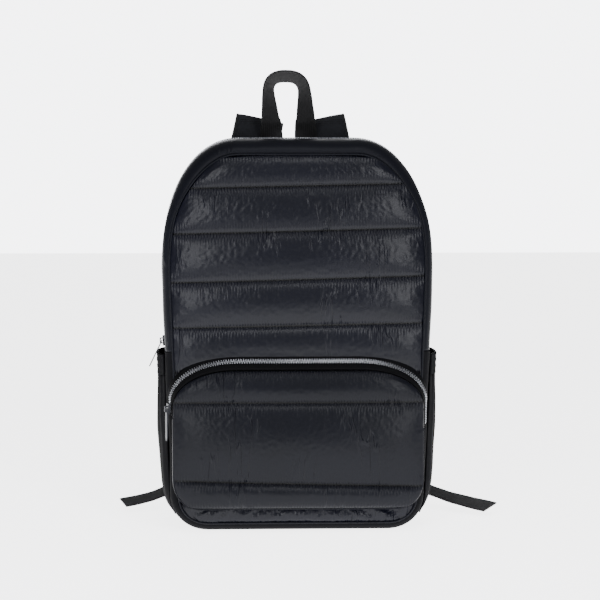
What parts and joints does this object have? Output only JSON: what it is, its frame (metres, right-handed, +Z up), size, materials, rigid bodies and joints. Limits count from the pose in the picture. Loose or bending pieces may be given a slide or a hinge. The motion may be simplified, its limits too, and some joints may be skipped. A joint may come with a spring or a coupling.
{
  "type": "quilted puffer backpack",
  "caption": "Soft backpack with a quilted puffer front, a quilted zip pocket, open side pockets, a webbing carry handle and padded shoulder straps.",
  "frame": {"origin": "middle of the flat base, on the surface that the bag stands on", "axes": "+Z up, -Y towards the quilted front, +Y towards the shoulder straps, +X to the right seen from the front"},
  "size_m": [0.4231, 0.1975, 0.4949],
  "materials": {
    "shell_nylon": "glossy down-proof nylon, dark navy to charcoal",
    "side_cloth": "matte polyester, near black",
    "padded_mesh": "matte padded spacer mesh, near black",
    "webbing": "matte woven webbing, near black",
    "zip_tape": "matte woven tape, near black",
    "zip_metal": "gunmetal, satin",
    "puller_metal": "gunmetal, satin, lighter where worn",
    "acetal": "moulded, satin black"
  },
  "bodies": {
    "pack": {"front_panel": "shell_nylon", "pocket_panel": "shell_nylon", "pocket_gusset": "shell_nylon", "pocket_zip_tape_lower": "zip_tape", "pocket_zip_tape_upper": "zip_tape", "pocket_zip_chain": "zip_metal", "pocket_zip_slider": "zip_metal", "front_strip": "side_cloth", "main_zip_tape_front": "zip_tape", "main_zip_tape_rear": "zip_tape", "main_zip_chain": "zip_metal", "main_zip_slider": "zip_metal", "rear_gusset": "side_cloth", "side_panel_right": "side_cloth", "side_panel_left": "side_cloth", "bottom_panel": "side_cloth", "back_panel": "padded_mesh", "side_pocket_left": "side_cloth", "side_pocket_hem_left": "side_cloth", "side_pocket_right": "side_cloth", "side_pocket_hem_right": "side_cloth", "carry_handle": "webbing", "strap_yoke": "webbing", "shoulder_strap_left": "padded_mesh", "shoulder_strap_right": "padded_mesh", "ladder_lock_left": "acetal", "ladder_lock_right": "acetal", "strap_tab_left": "webbing", "strap_tab_right": "webbing", "strap_webbing_left": "webbing", "strap_webbing_right": "webbing", "anchor_wing_left": "side_cloth", "anchor_wing_right": "side_cloth"},
    "pocket_puller": {"pocket_zip_puller": "puller_metal"},
    "main_puller": {"main_zip_puller": "puller_metal"}
  },
  "joints": [
    {"name": "pocket_puller_swing", "type": "hinge", "parent": "pack", "child": "pocket_puller", "pos_m": [-0.13964, -0.06314, 0.133], "axis": [-0.2672, 0.9636, 0], "range_deg": [0, 170]},
    {"name": "main_puller_swing", "type": "hinge", "parent": "pack", "child": "main_puller", "pos_m": [-0.14596, -0.0088, 0.20085], "axis": [0, 1, 0], "range_deg": [0, 135]}
  ]
}
